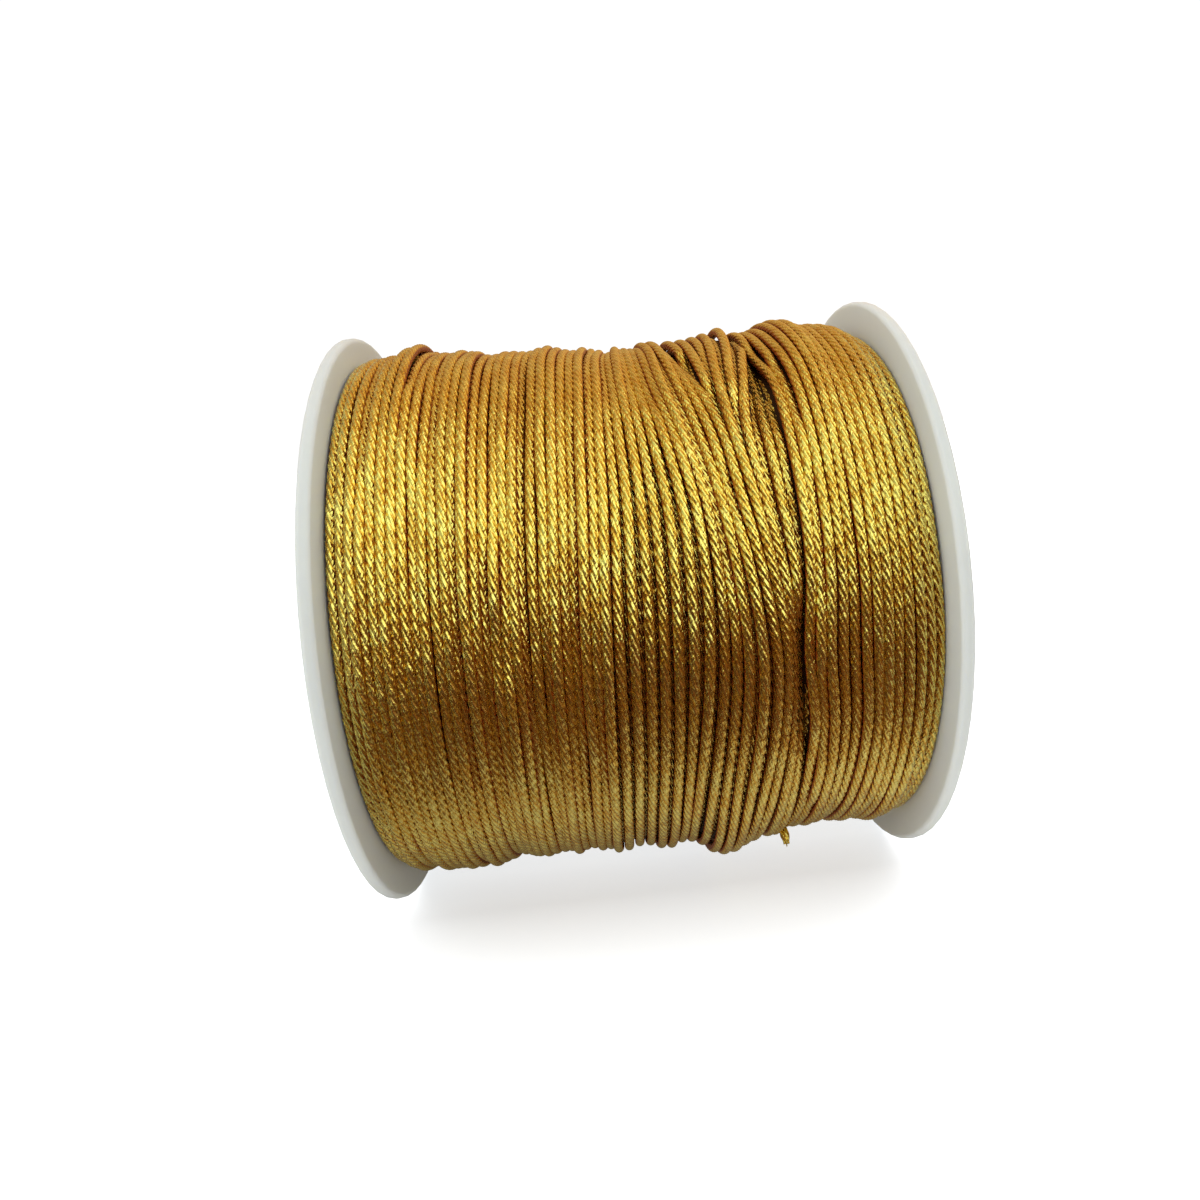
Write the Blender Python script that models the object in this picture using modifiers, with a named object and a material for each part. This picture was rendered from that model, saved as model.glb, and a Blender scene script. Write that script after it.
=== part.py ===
"""A roll of metallic gold braided cord, wound on a milky plastic spool with two round flanges.

Metres, +Z up. The spool lies on its two flange rims with its axis along X, and the side
that shows the winding's best face looks along -Y. The origin is on the ground, midway
between the flanges and straight under the axis.
"""

from collections import namedtuple
from math import atan2, cos, degrees, exp, hypot, pi, radians, sin

import bmesh
import bpy
from mathutils import Matrix, Vector

MM = 0.001

# The spool, a moulding turned about its axis
FLANGE_RADIUS = 30.0 * MM
FLANGE_THICKNESS = 1.2 * MM
RIM_ROUNDING = 0.45 * MM
SPOOL_WIDTH = 54.4 * MM  # over both flanges
HUB_RADIUS = 9.6 * MM
BORE_RADIUS = 8.0 * MM
BORE_CHAMFER = 0.5 * MM
HUB_FILLET = 0.8 * MM
FLAT_DEPTH = 0.1 * MM  # how much each rim is flattened where it stands
TURN_STEPS = 64

# The winding, about 100 m of cord
CORD_DIAMETER = 0.95 * MM
GAP = 0.3 * MM  # to the spool
WOUND_RADIUS = 27.6 * MM
SHOULDER_DROP = 0.7 * MM  # the outer layer sinks beside each flange
SHOULDER_REACH = 1.6 * MM
GROUP_PITCH = 4.3 * MM  # turns lie in groups of about five, with wider ones among them
WIDE_GROUP_PITCH = 7.1 * MM
GROUP_HEIGHT = 0.17 * MM
GROUP_DRIFT = 1.9  # how far the groups wander along the axis, in radians of their wave
STATION_PITCH = 1.0 * MM

# The loose end that shows below the winding
END_FIRST_ANGLE = 170.0
END_LAST_ANGLE = 151.5
END_FIRST_X = 11.9 * MM
END_LAST_X = 13.4 * MM
END_LIFT = 0.35 * MM  # how far its tip stands off
END_POINTS = 9

AXIS_HEIGHT = FLANGE_RADIUS - FLAT_DEPTH
INNER_FACE = SPOOL_WIDTH / 2 - FLANGE_THICKNESS

# Broad lumps and hollows of the winding. x and angle give the middle of each, x_reach and
# angle_reach how far it goes each way, and height how far it stands out. Angles are in
# degrees from the top, growing towards the front (-Y), so 90 is the front and 180 the
# underside. Lengths are in millimetres.
Lump = namedtuple("Lump", "x x_reach angle angle_reach height")
LUMPS = (
    Lump(x=-20.5, x_reach=7.0, angle=0, angle_reach=75, height=1.0),
    Lump(x=-20.0, x_reach=9.0, angle=175, angle_reach=60, height=0.45),
    Lump(x=0.5, x_reach=9.0, angle=5, angle_reach=70, height=-0.35),
    Lump(x=0.0, x_reach=8.0, angle=178, angle_reach=55, height=0.45),
    Lump(x=11.2, x_reach=2.2, angle=0, angle_reach=38, height=0.75),
    Lump(x=18.2, x_reach=5.6, angle=-5, angle_reach=85, height=1.1),
    Lump(x=7.6, x_reach=4.4, angle=160, angle_reach=42, height=1.9),
    Lump(x=12.2, x_reach=1.8, angle=158, angle_reach=34, height=0.6),
    Lump(x=20.0, x_reach=6.0, angle=155, angle_reach=45, height=-0.3),
    Lump(x=16.0, x_reach=7.0, angle=255, angle_reach=60, height=0.6),
    Lump(x=-8.0, x_reach=9.0, angle=265, angle_reach=70, height=0.35),
)

# The furrow where the turns from the left dive under those on the right. Each row is a
# place on it: the angle in degrees, then x, its half width and its depth in millimetres.
Furrow = namedtuple("Furrow", "angle x half_width depth")
FURROW = (
    Furrow(angle=10, x=13.2, half_width=0.7, depth=0.0),
    Furrow(angle=28, x=13.3, half_width=1.0, depth=1.3),
    Furrow(angle=40, x=13.2, half_width=1.0, depth=1.0),
    Furrow(angle=60, x=13.2, half_width=0.9, depth=0.6),
    Furrow(angle=84, x=13.9, half_width=0.9, depth=0.5),
    Furrow(angle=104, x=12.8, half_width=0.9, depth=0.6),
    Furrow(angle=120, x=13.7, half_width=0.9, depth=0.9),
    Furrow(angle=146, x=14.3, half_width=0.9, depth=0.8),
    Furrow(angle=172, x=14.6, half_width=0.9, depth=0.0),
)


def clear_scene():
    for old in list(bpy.data.objects):
        bpy.data.objects.remove(old, do_unlink=True)


def new_collection(name):
    collection = bpy.data.collections.new(name)
    bpy.context.scene.collection.children.link(collection)
    return collection


def plain_material(name, colour, roughness, metallic):
    material = bpy.data.materials.new(name)
    material.use_nodes = True
    shader = material.node_tree.nodes["Principled BSDF"]
    shader.inputs["Base Color"].default_value = (*colour, 1.0)
    shader.inputs["Roughness"].default_value = roughness
    shader.inputs["Metallic"].default_value = metallic
    return material


def add_object(name, data, collection, material=None):
    made = bpy.data.objects.new(name, data)
    collection.objects.link(made)
    if material is not None:
        made.data.materials.append(material)
    return made


def profile_mesh(name, outline, closed):
    """A line through the points (radius, height), ready to be turned about Z."""
    mesh = bpy.data.meshes.new(name)
    points = [(radius, 0.0, height) for radius, height in outline]
    edges = [(i, i + 1) for i in range(len(points) - 1)]
    if closed:
        edges.append((len(points) - 1, 0))
    mesh.from_pydata(points, edges, [])
    return mesh


def turn(made):
    """Turns the object's profile about its own Z axis."""
    screw = made.modifiers.new("turn", "SCREW")
    screw.axis = "Z"
    screw.steps = TURN_STEPS
    screw.render_steps = TURN_STEPS
    screw.use_merge_vertices = True
    screw.merge_threshold = 0.00001
    screw.use_smooth_shade = True


def lay_on_side(made):
    """Puts the object's Z axis along the spool's axis."""
    made.rotation_euler = (0.0, pi / 2, 0.0)
    made.location = (0.0, 0.0, AXIS_HEIGHT)


def arc(centre, radius, first, last, steps):
    """Points (radius, height) on an arc, from the first angle to the last, in degrees."""
    found = []
    for i in range(steps + 1):
        turned = radians(first + (last - first) * i / steps)
        found.append((centre[0] + radius * cos(turned), centre[1] + radius * sin(turned)))
    return found


def spool_half_outline():
    """The upper half of the spool's section, from the middle of the hub to the bore."""
    outer_face = SPOOL_WIDTH / 2
    rim = FLANGE_RADIUS - RIM_ROUNDING
    outline = arc((rim, outer_face - RIM_ROUNDING), RIM_ROUNDING, 90, 0, 4)
    outline += arc((rim, INNER_FACE + RIM_ROUNDING), RIM_ROUNDING, 0, -90, 4)
    fillet_centre = (HUB_RADIUS + HUB_FILLET, INNER_FACE - HUB_FILLET)
    outline += arc(fillet_centre, HUB_FILLET, 90, 180, 3)
    outline.append((HUB_RADIUS, 0.0))
    bore_side = [(BORE_RADIUS, 0.0), (BORE_RADIUS, outer_face - BORE_CHAMFER)]
    bore_side.append((BORE_RADIUS + BORE_CHAMFER, outer_face))
    return bore_side + outline


def make_spool(parts, cutters, material):
    spool = add_object("spool", profile_mesh("spool", spool_half_outline(), False), parts, material)
    turn(spool)
    mirror = spool.modifiers.new("both ends", "MIRROR")
    mirror.use_axis = (False, False, True)
    mirror.merge_threshold = 0.00001
    lay_on_side(spool)

    bpy.ops.mesh.primitive_cube_add(size=1.0)
    ground = bpy.context.active_object
    ground.name = "ground_cutter"
    block = (SPOOL_WIDTH * 1.2, FLANGE_RADIUS, FLANGE_RADIUS / 3)
    ground.data.transform(Matrix.Diagonal((*block, 1.0)))
    ground.location = (0.0, 0.0, -block[2] / 2)
    for old in list(ground.users_collection):
        old.objects.unlink(ground)
    cutters.objects.link(ground)
    ground.hide_render = True
    ground.display_type = "WIRE"

    flat = spool.modifiers.new("flat spots", "BOOLEAN")
    flat.operation = "DIFFERENCE"
    flat.solver = "EXACT"
    flat.object = ground
    return spool


def hump(distance, reach):
    """1 in the middle, falling smoothly to 0 at the reach."""
    share = min(abs(distance) / reach, 1.0)
    return (0.5 + 0.5 * cos(pi * share)) ** 0.8


def turned_apart(first, second):
    """The angle between two directions round the axis, in degrees."""
    return (first - second + 180.0) % 360.0 - 180.0


def furrow_depth(x_mm, angle):
    """How deep the furrow is at a place, in millimetres."""
    for near, far in zip(FURROW[:-1], FURROW[1:]):
        if near.angle <= angle <= far.angle:
            share = (angle - near.angle) / (far.angle - near.angle)
            share = share * share * (3.0 - 2.0 * share)
            middle = near.x + (far.x - near.x) * share
            half_width = near.half_width + (far.half_width - near.half_width) * share
            depth = near.depth + (far.depth - near.depth) * share
            return depth * exp(-(((x_mm - middle) / half_width) ** 2))
    return 0.0


def wound_radius(x, angle):
    """The winding's radius at x metres along the axis and an angle from the top."""
    angle = angle % 360.0
    x_mm = x / MM
    radius = WOUND_RADIUS
    for lump in LUMPS:
        across = hump(x_mm - lump.x, lump.x_reach)
        along = hump(turned_apart(angle, lump.angle), lump.angle_reach)
        radius += lump.height * MM * across * along
    drift = GROUP_DRIFT * sin(radians(angle) + x / WIDE_GROUP_PITCH)
    radius += GROUP_HEIGHT * sin(2 * pi * x / GROUP_PITCH + drift)
    radius += GROUP_HEIGHT * sin(2 * pi * x / WIDE_GROUP_PITCH - drift)
    radius -= furrow_depth(x_mm, angle) * MM
    from_end = max(0.0, INNER_FACE - GAP - abs(x))
    radius -= SHOULDER_DROP * exp(-((from_end / SHOULDER_REACH) ** 2))
    return min(radius, FLANGE_RADIUS - CORD_DIAMETER / 2)


def make_wound_cord(parts, material):
    """A turned ring whose outside is then pushed in and out to the winding's lumps."""
    half = INNER_FACE - GAP
    inside = HUB_RADIUS + GAP
    fillet_room = HUB_FILLET
    stations = int(round(2 * half / STATION_PITCH))
    outline = [(WOUND_RADIUS, half - 2 * half * i / stations) for i in range(stations + 1)]
    outline.append((inside + fillet_room, -half))
    outline.append((inside, -half + fillet_room))
    outline.append((inside, half - fillet_room))
    outline.append((inside + fillet_room, half))
    guide = add_object("winding_guide", profile_mesh("winding_guide", outline, True), parts)
    turn(guide)
    evaluated = guide.evaluated_get(bpy.context.evaluated_depsgraph_get())
    mesh = bpy.data.meshes.new_from_object(evaluated)
    bpy.data.objects.remove(guide, do_unlink=True)

    for vertex in mesh.vertices:
        place = vertex.co
        distance = hypot(place.x, place.y)
        if distance > WOUND_RADIUS - CORD_DIAMETER:
            # Laid on its side, the ring's own -X points up and its -Y to the front.
            angle = degrees(atan2(-place.y, -place.x))
            radius = wound_radius(place.z, angle)
            vertex.co = (place.x * radius / distance, place.y * radius / distance, place.z)
    mesh.shade_smooth()
    mesh.name = "wound_cord"
    wound = add_object("wound_cord", mesh, parts, material)
    lay_on_side(wound)
    return wound


def place_on_winding(x, angle, radius):
    """A point at x along the axis, at an angle from the top and a distance from the axis."""
    turned = radians(angle)
    return Vector((x, -radius * sin(turned), AXIS_HEIGHT + radius * cos(turned)))


def make_cord_end(parts, material):
    """The cut end of the last turn, a short tube just clear of the winding."""
    route = []
    for i in range(END_POINTS):
        share = i / (END_POINTS - 1)
        angle = END_FIRST_ANGLE + (END_LAST_ANGLE - END_FIRST_ANGLE) * share
        x = END_FIRST_X + (END_LAST_X - END_FIRST_X) * share * share
        below = max(wound_radius(x + side * CORD_DIAMETER / 2, angle) for side in (-1, 0, 1))
        radius = below + GAP + CORD_DIAMETER / 2 + END_LIFT * share**3
        route.append(place_on_winding(x, angle, radius))
    curve = bpy.data.curves.new("cord_end", "CURVE")
    curve.dimensions = "3D"
    curve.bevel_depth = CORD_DIAMETER / 2
    curve.bevel_resolution = 2
    curve.use_fill_caps = True
    spline = curve.splines.new("POLY")
    spline.points.add(len(route) - 1)
    for point, place in zip(spline.points, route):
        point.co = (*place, 1.0)
    tube = add_object("cord_end_guide", curve, parts)
    evaluated = tube.evaluated_get(bpy.context.evaluated_depsgraph_get())
    mesh = bpy.data.meshes.new_from_object(evaluated)
    bpy.data.objects.remove(tube, do_unlink=True)
    welded = bmesh.new()
    welded.from_mesh(mesh)
    bmesh.ops.remove_doubles(welded, verts=welded.verts, dist=0.00001)
    welded.to_mesh(mesh)
    welded.free()
    mesh.shade_smooth()
    mesh.name = "cord_end"
    mesh.materials.clear()
    return add_object("cord_end", mesh, parts, material)


def main():
    clear_scene()
    parts = new_collection("metallic_cord_on_spool")
    cutters = new_collection("cutters")
    gold = plain_material("gold_braid", (0.62, 0.38, 0.07), 0.38, 0.75)
    milky = plain_material("milky_plastic", (0.83, 0.83, 0.80), 0.32, 0.0)
    make_spool(parts, cutters, milky)
    make_wound_cord(parts, gold)
    make_cord_end(parts, gold)


main()
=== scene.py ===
"""Looks for a roll of metallic gold braided cord on a milky plastic spool.

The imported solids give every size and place. The spool keeps its solid and gets moulded
plastic. The wound cord's solid is replaced by real turns of braid, laid side by side.
"""

from collections import namedtuple

import bpy
import numpy as np
from mathutils import Matrix, Vector


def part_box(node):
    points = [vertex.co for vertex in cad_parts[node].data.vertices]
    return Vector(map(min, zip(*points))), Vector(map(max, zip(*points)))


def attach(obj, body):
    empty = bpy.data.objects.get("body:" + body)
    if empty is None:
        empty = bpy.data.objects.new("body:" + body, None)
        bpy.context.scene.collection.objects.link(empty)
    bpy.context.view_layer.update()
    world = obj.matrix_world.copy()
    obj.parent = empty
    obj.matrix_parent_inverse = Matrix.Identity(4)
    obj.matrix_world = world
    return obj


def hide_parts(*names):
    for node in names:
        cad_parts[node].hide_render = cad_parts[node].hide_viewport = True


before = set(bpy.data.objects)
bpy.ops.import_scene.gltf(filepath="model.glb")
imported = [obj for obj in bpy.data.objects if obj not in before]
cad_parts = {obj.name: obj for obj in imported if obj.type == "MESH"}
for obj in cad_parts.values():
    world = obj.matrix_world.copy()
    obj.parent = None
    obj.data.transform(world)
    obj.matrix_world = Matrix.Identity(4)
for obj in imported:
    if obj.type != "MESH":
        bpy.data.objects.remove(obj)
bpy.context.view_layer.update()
MM = 0.001


# The studio. The camera looks at the front of the winding from slightly above, through a
# short lens from close by, with the right flange a little higher in the frame. A large
# window in front and above lights the roll, which stands on pale paper.
spool_low, spool_high = (Vector(corner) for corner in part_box("spool"))
flange_radius = (spool_high.y - spool_low.y) / 2
axis_height = spool_high.z - flange_radius
AXIS = Vector((0.0, 0.0, axis_height))

CAMERA_DISTANCE = 3.3363 * flange_radius
CAMERA_ABOVE = np.radians(10.0)
CAMERA_LEFT = np.radians(1.983)
CAMERA_ROLL = np.radians(-4.712)
AIM = AXIS + Vector((0.121, 0.0, 0.0779)) * flange_radius
LENS_IN_PIXELS = 875.2
PHOTO_PIXELS = 1200
CENTRE_MOVED = (61.3, -31.0)  # pixels right and down from the middle of the photo

camera_data = bpy.data.cameras.new("camera")
camera_data.sensor_fit = "HORIZONTAL"
camera_data.sensor_width = 36.0
camera_data.lens = camera_data.sensor_width * LENS_IN_PIXELS / PHOTO_PIXELS
camera_data.shift_x = -CENTRE_MOVED[0] / PHOTO_PIXELS
camera_data.shift_y = CENTRE_MOVED[1] / PHOTO_PIXELS
camera_data.clip_start = 0.005
camera = bpy.data.objects.new("camera", camera_data)
bpy.context.scene.collection.objects.link(camera)
level = np.cos(CAMERA_ABOVE)
away = Vector(
    (-np.sin(CAMERA_LEFT) * level, -np.cos(CAMERA_LEFT) * level, np.sin(CAMERA_ABOVE))
)
camera.location = AXIS + away * CAMERA_DISTANCE
facing = (AIM - camera.location).to_track_quat("-Z", "Y").to_matrix()
camera.rotation_euler = (facing @ Matrix.Rotation(CAMERA_ROLL, 3, "Z")).to_euler()
bpy.context.scene.camera = camera
bpy.context.scene.view_settings.view_transform = "Standard"


def add_mesh_object(name, mesh):
    made = bpy.data.objects.new(name, mesh)
    bpy.context.scene.collection.objects.link(made)
    return made


def new_material(name):
    """A material with its Principled shader, ready for nodes."""
    material = bpy.data.materials.new(name)
    material.use_nodes = True
    return material, material.node_tree, material.node_tree.nodes["Principled BSDF"]


def ramp(tree, share, stops):
    """A colour ramp over a share, from (place, colour) stops."""
    node = tree.nodes.new("ShaderNodeValToRGB")
    tree.links.new(share, node.inputs["Fac"])
    row = node.color_ramp.elements
    while len(row) < len(stops):
        row.new(0.5)
    for element, (place, colour) in zip(row, stops):
        element.position = place
        element.color = (*colour, 1.0)
    return node.outputs["Color"]


def feed(tree, socket, value):
    """Give an input socket another node's output, a number or a colour."""
    if isinstance(value, tuple):
        socket.default_value = (*value, 1.0)
    elif isinstance(value, (int, float)):
        socket.default_value = value
    else:
        tree.links.new(value, socket)


def maths(tree, operation, first, second=None, third=None, clamp=False):
    """One Math node. Its inputs are sockets or plain numbers."""
    node = tree.nodes.new("ShaderNodeMath")
    node.operation = operation
    node.use_clamp = clamp
    for socket, value in zip(node.inputs, (first, second, third)):
        if value is not None:
            feed(tree, socket, value)
    return node.outputs[0]


def mix_colour(tree, share, first, second, blend="MIX"):
    """One Mix node for colours. Colours and the share are sockets or plain values."""
    node = tree.nodes.new("ShaderNodeMix")
    node.data_type = "RGBA"
    node.blend_type = blend
    for place, value in ((0, share), (6, first), (7, second)):
        feed(tree, node.inputs[place], value)
    return node.outputs[2]


def mix_value(tree, share, first, second):
    """One Mix node for numbers. All three inputs are sockets or plain numbers."""
    node = tree.nodes.new("ShaderNodeMix")
    for place, value in ((0, share), (2, first), (3, second)):
        feed(tree, node.inputs[place], value)
    return node.outputs[0]


def share_between(tree, value, start, end, top=1.0):
    """How far a value has gone from start to end: 0 at the start and top at the end."""
    node = tree.nodes.new("ShaderNodeMapRange")
    node.inputs["From Min"].default_value = start
    node.inputs["From Max"].default_value = end
    node.inputs["To Max"].default_value = top
    tree.links.new(value, node.inputs["Value"])
    return node.outputs["Result"]


FLOOR_REACH = 6.0
PAPER = (0.80, 0.80, 0.80)
# What the camera sees of the paper glows, a painted light that keeps its shadow pale: the glow
# makes it nearly white under the roll, and in front of the roll it dips into a painted soft band
# of shadow. Places on the paper are in metres from the line under the roll's axis, less than zero in front
# of it.
SHADOW_NEAR, SHADOW_FAR = 0.002, -0.030
SHADOW_GLOW = (
    (0.00, (1.0, 1.0, 1.0)),
    (0.20, (0.92, 0.92, 0.92)),
    (0.45, (0.65, 0.65, 0.65)),
    (0.62, (0.70, 0.70, 0.70)),
    (1.00, (0.84, 0.84, 0.84)),
)
PAPER_GLOW_AS_LIGHT = 0.30
GLOW_TINT = (0.77, 0.80, 0.83)  # makes up for the warm light that comes back from the gold
# Away from the roll the paper stays flat, and its glow rises so that it turns into the white background.
BACKGROUND_GLOW = 1.1
RISE_NEAR, RISE_FAR = 0.10, 0.45
# Painted reflection: what the metal mirrors down there is a glow that the paper shows to mirror
# rays alone, from under the roll to the front: paper in painted shade, bright paper, and a painted
# dark table past its edge. All of it is brighter to the right.
MIRRORED_NEAR, MIRRORED_FAR = -0.008, -0.064
PAINTED_FLOOR_REFLECTION = (
    (0.00, (0.20, 0.16, 0.12)),
    (0.10, (0.36, 0.31, 0.26)),
    (0.22, (0.68, 0.62, 0.55)),
    (0.32, (0.68, 0.62, 0.55)),
    (0.42, (0.30, 0.20, 0.13)),
    (0.54, (0.14, 0.046, 0.020)),
    (1.00, (0.10, 0.031, 0.012)),
)
ASIDE_REACH = 0.12
MIRRORED_ASIDE = (
    (0.00, (0.30, 0.30, 0.30)),
    (0.50, (0.75, 0.75, 0.75)),
    (1.00, (2.20, 2.20, 2.20)),
)
floor_mesh = bpy.data.meshes.new("paper")
corner_signs = ((-1, -1), (1, -1), (1, 1), (-1, 1))
floor_corners = [(sx * FLOOR_REACH, sy * FLOOR_REACH, 0.0) for sx, sy in corner_signs]
floor_mesh.from_pydata(floor_corners, [], [(0, 1, 2, 3)])
floor = add_mesh_object("paper", floor_mesh)
paper, paper_tree, paper_shader = new_material("pale_paper")
paper_shader.inputs["Roughness"].default_value = 0.9
paper_shader.inputs["Specular IOR Level"].default_value = 0.05
ray = paper_tree.nodes.new("ShaderNodeLightPath")
where = paper_tree.nodes.new("ShaderNodeTexCoord")
apart = paper_tree.nodes.new("ShaderNodeSeparateXYZ")
paper_tree.links.new(where.outputs["Object"], apart.inputs[0])
in_mirror = ray.outputs["Is Glossy Ray"]
to_front = share_between(paper_tree, apart.outputs["Y"], MIRRORED_NEAR, MIRRORED_FAR)
to_right = share_between(paper_tree, apart.outputs["X"], -ASIDE_REACH, ASIDE_REACH)
painted_reflection = ramp(paper_tree, to_front, PAINTED_FLOOR_REFLECTION)
brighter_right = ramp(paper_tree, to_right, MIRRORED_ASIDE)
painted_reflection = mix_colour(paper_tree, 1.0, painted_reflection, brighter_right, "MULTIPLY")
paper_colour = mix_colour(paper_tree, in_mirror, PAPER, (0.0, 0.0, 0.0))
paper_tree.links.new(paper_colour, paper_shader.inputs["Base Color"])
glow_colour = mix_colour(paper_tree, in_mirror, GLOW_TINT, painted_reflection)
paper_tree.links.new(glow_colour, paper_shader.inputs["Emission Color"])
from_roll = paper_tree.nodes.new("ShaderNodeVectorMath")
from_roll.operation = "LENGTH"
paper_tree.links.new(where.outputs["Object"], from_roll.inputs[0])
risen = share_between(paper_tree, from_roll.outputs["Value"], RISE_NEAR, RISE_FAR, BACKGROUND_GLOW)
past_shadow = share_between(paper_tree, apart.outputs["Y"], SHADOW_NEAR, SHADOW_FAR)
shown_glow = maths(paper_tree, "MAXIMUM", ramp(paper_tree, past_shadow, SHADOW_GLOW), risen)
glow = mix_value(paper_tree, ray.outputs["Is Camera Ray"], PAPER_GLOW_AS_LIGHT, shown_glow)
glow = mix_value(paper_tree, in_mirror, glow, 1.0)
paper_tree.links.new(glow, paper_shader.inputs["Emission Strength"])
floor_mesh.materials.append(paper)


def soft_light(name, place, size, radiance):
    """A softbox that faces the spool's axis. The metal doesn't mirror it."""
    data = bpy.data.lights.new(name, "AREA")
    data.shape = "RECTANGLE"
    data.size, data.size_y = size
    data.energy = radiance * np.pi * size[0] * size[1]
    light = bpy.data.objects.new(name, data)
    bpy.context.scene.collection.objects.link(light)
    light.location = place
    light.rotation_euler = (AXIS - Vector(place)).to_track_quat("-Z", "Y").to_euler()
    light.visible_glossy = False


soft_light("softbox", (0.36, 0.14, 0.50), (0.6, 0.6), 1.5)
soft_light("side_softbox", (-0.50, -0.20, 0.32), (0.5, 0.5), 1.3)

# The room that the metal mirrors, from the front up over the top and down behind: a large
# bright window in front and above, a warm ceiling, and warm walls behind.
SWEEP = (
    (0.00, (0.16, 0.052, 0.018)),
    (0.06, (0.34, 0.17, 0.08)),
    (0.16, (1.33, 1.46, 1.20)),
    (0.43, (1.33, 1.46, 1.20)),
    (0.48, (0.72, 0.45, 0.22)),
    (0.85, (0.72, 0.45, 0.22)),
    (1.00, (0.30, 0.18, 0.10)),
)
# All of the room is darker on the left and brighter on the right.
SIDES = (
    (0.00, (0.35, 0.35, 0.35)),
    (0.45, (0.85, 0.85, 0.85)),
    (0.75, (1.25, 1.25, 1.25)),
    (1.00, (1.35, 1.35, 1.35)),
)
# What is not metal is lit by a neutral sky, brighter from above and a little from the left.
SKY_LEVEL, SKY_RISE, SKY_LEAN = 0.44, 0.55, -0.17
BACKDROP = 1.05  # behind the roll the camera sees white

world = bpy.data.worlds.new("studio")
bpy.context.scene.world = world
world.use_nodes = True
room = world.node_tree
mirrored_room = room.nodes["Background"]
direction = room.nodes.new("ShaderNodeTexCoord")
heading = room.nodes.new("ShaderNodeSeparateXYZ")
room.links.new(direction.outputs["Generated"], heading.inputs[0])
front = maths(room, "MULTIPLY", heading.outputs["Y"], -1.0)
raised = maths(room, "ARCTAN2", heading.outputs["Z"], front)
swept = ramp(room, maths(room, "DIVIDE", raised, np.pi, clamp=True), SWEEP)
aside = ramp(room, maths(room, "MULTIPLY_ADD", heading.outputs["X"], 0.5, 0.5), SIDES)
painted = mix_colour(room, 1.0, swept, aside, "MULTIPLY")
room.links.new(painted, mirrored_room.inputs["Color"])
even_light = room.nodes.new("ShaderNodeBackground")
even_light.inputs["Color"].default_value = (1.0, 1.0, 1.0, 1.0)
sky = maths(room, "MULTIPLY_ADD", heading.outputs["X"], SKY_LEAN, SKY_LEVEL)
sky = maths(room, "MULTIPLY_ADD", heading.outputs["Z"], SKY_RISE, sky)
room.links.new(sky, even_light.inputs["Strength"])
backdrop = room.nodes.new("ShaderNodeBackground")
backdrop.inputs["Color"].default_value = (1.0, 1.0, 1.0, 1.0)
backdrop.inputs["Strength"].default_value = BACKDROP
room_ray = room.nodes.new("ShaderNodeLightPath")
lit_or_mirrored = room.nodes.new("ShaderNodeMixShader")
room.links.new(room_ray.outputs["Is Glossy Ray"], lit_or_mirrored.inputs["Fac"])
room.links.new(even_light.outputs["Background"], lit_or_mirrored.inputs[1])
room.links.new(mirrored_room.outputs["Background"], lit_or_mirrored.inputs[2])
choice = room.nodes.new("ShaderNodeMixShader")
room.links.new(room_ray.outputs["Is Camera Ray"], choice.inputs["Fac"])
room.links.new(lit_or_mirrored.outputs["Shader"], choice.inputs[1])
room.links.new(backdrop.outputs["Background"], choice.inputs[2])
room.links.new(choice.outputs["Shader"], room.nodes["World Output"].inputs["Surface"])


# How the cord lies on the roll. It was wound in fields of turns side by side, and each row
# here says where nine chosen turns lie along the axis, in millimetres, at one angle from
# the top towards the front. Other turns lie evenly between them. Where two chosen turns
# draw apart, more turns come up between them, and where they close in, those dive under.
CORD_DIAMETER = 0.97 * MM
STEPS_PER_TURN = 432
SEAM_ANGLE = 250.0  # each turn runs over into the next one before this angle, behind the roll
SEAM_EASE = 90.0  # and starts to do so this many degrees earlier
angles = (SEAM_ANGLE + np.arange(STEPS_PER_TURN) * 360.0 / STEPS_PER_TURN) % 360.0
chance = np.random.default_rng(1207)

CHOSEN_TURNS = "left middle fan lean over hold late back right"
Station = namedtuple("Station", "angle " + CHOSEN_TURNS)
STATIONS = (
    Station(0, -25.4, -1.2, 3.0, 4.6, 9.8, 13.0, 13.4, 13.2, 25.3),
    Station(20, -25.4, -1.9, 3.5, 5.5, 9.5, 12.6, 13.2, 13.6, 25.3),
    Station(35, -25.4, -2.1, 3.9, 6.9, 9.1, 11.6, 12.9, 14.3, 25.4),
    Station(50, -25.4, -2.4, 4.9, 8.4, 9.4, 10.8, 12.5, 14.5, 25.4),
    Station(65, -25.4, -2.7, 6.0, 9.3, 10.3, 11.2, 12.7, 14.5, 25.4),
    Station(80, -25.4, -3.2, 6.4, 10.3, 11.3, 12.2, 13.1, 14.4, 25.4),
    Station(95, -25.4, -3.6, 6.3, 11.0, 12.0, 12.6, 13.0, 13.9, 25.5),
    Station(110, -25.4, -3.8, 5.8, 10.7, 11.6, 12.5, 13.1, 14.2, 25.5),
    Station(130, -25.4, -4.0, 5.2, 9.9, 10.8, 12.0, 12.8, 14.0, 25.5),
    Station(150, -25.4, -4.1, 5.0, 9.3, 10.2, 11.7, 12.6, 13.8, 25.5),
    Station(200, -25.4, -3.6, 4.5, 8.2, 10.2, 12.0, 13.0, 14.2, 25.5),
    Station(270, -25.4, -2.4, 3.9, 6.3, 10.1, 12.7, 13.3, 14.0, 25.4),
    Station(330, -25.4, -1.5, 3.2, 4.8, 10.0, 13.0, 13.4, 13.4, 25.3),
)
Field = namedtuple("Field", "name start end turns spares rank")
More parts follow.
